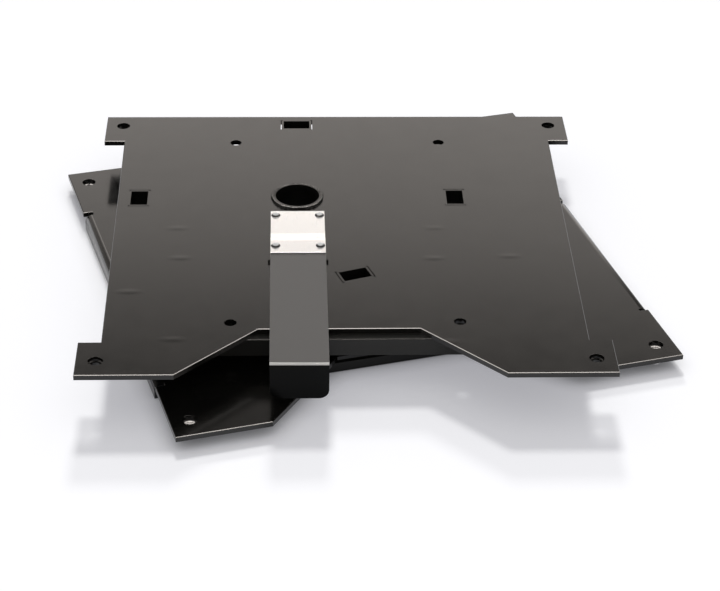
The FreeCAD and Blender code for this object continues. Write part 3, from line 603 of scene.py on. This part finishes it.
def pale_floor():
    """White matt sheet, with a little light of its own where it is seen or mirrored."""
    material, nodes, links, shader = new_material("pale_floor")
    shader.inputs["Base Color"].default_value = (FLOOR_GREY, FLOOR_GREY, FLOOR_GREY, 1)
    shader.inputs["Roughness"].default_value = FLOOR_ROUGH
    shader.inputs["Specular IOR Level"].default_value = 0.0
    shader.inputs["Emission Color"].default_value = (*GLOW_TINT, 1)
    rays = nodes.new("ShaderNodeLightPath")
    kinds = rays.outputs["Is Camera Ray"]
    for kind in ("Is Glossy Ray", "Is Transmission Ray"):
        either = nodes.new("ShaderNodeMath")
        either.operation = "MAXIMUM"
        links.new(kinds, either.inputs[0])
        links.new(rays.outputs[kind], either.inputs[1])
        kinds = either.outputs["Value"]
    open_sky = nodes.new("ShaderNodeAmbientOcclusion")
    open_sky.inputs["Distance"].default_value = GLOW_REACH
    seen = nodes.new("ShaderNodeMath")
    seen.operation = "MULTIPLY"
    links.new(kinds, seen.inputs[0])
    links.new(open_sky.outputs["AO"], seen.inputs[1])
    glow = nodes.new("ShaderNodeMath")
    glow.operation = "MULTIPLY"
    glow.inputs[1].default_value = FLOOR_GLOW
    links.new(seen.outputs["Value"], glow.inputs[0])
    links.new(glow.outputs["Value"], shader.inputs["Emission Strength"])
    return material


floor = bpy.data.objects.new("floor", mesh_from("floor", build_floor, smooth=False))
bpy.context.scene.collection.objects.link(floor)
floor.data.materials.append(pale_floor())


def wall_level(nodes, links, height, levels):
    """The reflected level of one wall by elevation, slightly warm."""
    node = nodes.new("ShaderNodeValToRGB")
    elements = node.color_ramp.elements
    while len(elements) < len(levels):
        elements.new(0.5)
    for element, (elevation, level) in zip(elements, levels):
        element.position = math.sin(math.radians(elevation))
        share = level / BRIGHTEST
        element.color = (*(share * part for part in WALL_TINT), 1)
    links.new(height, node.inputs["Fac"])
    return node.outputs["Color"]


def towards(nodes, links, source, span):
    """Rises from 0 to 1 as a direction turns towards one side."""
    node = nodes.new("ShaderNodeMapRange")
    node.interpolation_type = "SMOOTHSTEP"
    node.inputs["From Min"].default_value = span[0]
    node.inputs["From Max"].default_value = span[1]
    links.new(source, node.inputs["Value"])
    return node.outputs["Result"]


def size_of(nodes, links, source):
    """A value without its sign."""
    node = nodes.new("ShaderNodeMath")
    node.operation = "ABSOLUTE"
    links.new(source, node.inputs[0])
    return node.outputs["Value"]


def between(nodes, links, share, first, second):
    """Mixes two colours."""
    node = nodes.new("ShaderNodeMix")
    node.data_type = "RGBA"
    links.new(share, node.inputs["Factor"])
    links.new(first, node.inputs["A"])
    links.new(second, node.inputs["B"])
    return node.outputs["Result"]


def studio():
    """An even soft sky, and in reflections the walls of a studio with high lights."""
    world = bpy.data.worlds.new("studio")
    bpy.context.scene.world = world
    world.use_nodes = True
    nodes = world.node_tree.nodes
    links = world.node_tree.links
    place = nodes.new("ShaderNodeTexCoord")
    turn = nodes.new("ShaderNodeVectorRotate")
    turn.rotation_type = "Z_AXIS"
    turn.inputs["Angle"].default_value = math.radians(STUDIO_HEADING)
    links.new(place.outputs["Generated"], turn.inputs["Vector"])
    split = nodes.new("ShaderNodeSeparateXYZ")
    links.new(turn.outputs["Vector"], split.inputs["Vector"])
    height = split.outputs["Z"]
    sideways = size_of(nodes, links, split.outputs["X"])
    lengthwise = size_of(nodes, links, split.outputs["Y"])
    middle = between(nodes, links, towards(nodes, links, split.outputs["Y"], FRONT_TO_BACK),
                     wall_level(nodes, links, height, FRONT_WALL),
                     wall_level(nodes, links, height, BACK_WALL))
    flank = between(nodes, links, towards(nodes, links, lengthwise, SIDE_TO_CORNER),
                    wall_level(nodes, links, height, SIDE_WALLS),
                    wall_level(nodes, links, height, CORNERS))
    room = between(nodes, links, towards(nodes, links, sideways, MIDDLE_TO_SIDE), middle, flank)
    seen = nodes.new("ShaderNodeBackground")
    seen.inputs["Strength"].default_value = BRIGHTEST
    links.new(room, seen.inputs["Color"])
    soft = nodes["Background"]
    soft.inputs["Color"].default_value = (1, 1, 1, 1)
    soft.inputs["Strength"].default_value = SKY_LEVEL
    rays = nodes.new("ShaderNodeLightPath")
    blend = nodes.new("ShaderNodeMixShader")
    links.new(rays.outputs["Is Glossy Ray"], blend.inputs["Fac"])
    links.new(soft.outputs["Background"], blend.inputs[1])
    links.new(seen.outputs["Background"], blend.inputs[2])
    links.new(blend.outputs["Shader"], nodes["World Output"].inputs["Surface"])


studio()


def sun(name, heading, elevation, strength, spread):
    """A soft distant lamp that isn't mirrored by the gloss."""
    lamp = bpy.data.lights.new(name, "SUN")
    lamp.energy = strength
    lamp.angle = math.radians(spread)
    holder = bpy.data.objects.new(name, lamp)
    bpy.context.scene.collection.objects.link(holder)
    turn = math.radians(heading)
    rise = math.radians(elevation)
    toward = Vector((math.sin(turn) * math.cos(rise), math.cos(turn) * math.cos(rise),
                     math.sin(rise)))
    holder.rotation_euler = toward.to_track_quat("Z", "Y").to_euler()
    holder.visible_glossy = False


sun("key", *KEY)
sun("low_back", *LOW_BACK)


def look():
    """The camera of the photograph."""
    data = bpy.data.cameras.new("camera")
    data.lens = CAMERA_LENS
    data.sensor_width = CAMERA_SENSOR
    data.shift_x, data.shift_y = CAMERA_SHIFT
    data.clip_end = CAMERA_REACH
    holder = bpy.data.objects.new("camera", data)
    bpy.context.scene.collection.objects.link(holder)
    turn = math.radians(CAMERA_HEADING)
    tilt = math.radians(CAMERA_TILT)
    roll = math.radians(CAMERA_ROLL)
    ahead = Vector((math.sin(turn) * math.cos(tilt), math.cos(turn) * math.cos(tilt),
                    -math.sin(tilt)))
    level = Vector((math.cos(turn), -math.sin(turn), 0))
    rise = level.cross(ahead)
    right = level * math.cos(roll) + rise * math.sin(roll)
    up = rise * math.cos(roll) - level * math.sin(roll)
    holder.matrix_world = Matrix.Translation(CAMERA_PLACE) @ Matrix(
        (right, up, -ahead)).transposed().to_4x4()
    bpy.context.scene.camera = holder


look()
bpy.context.scene.view_settings.view_transform = "Standard"
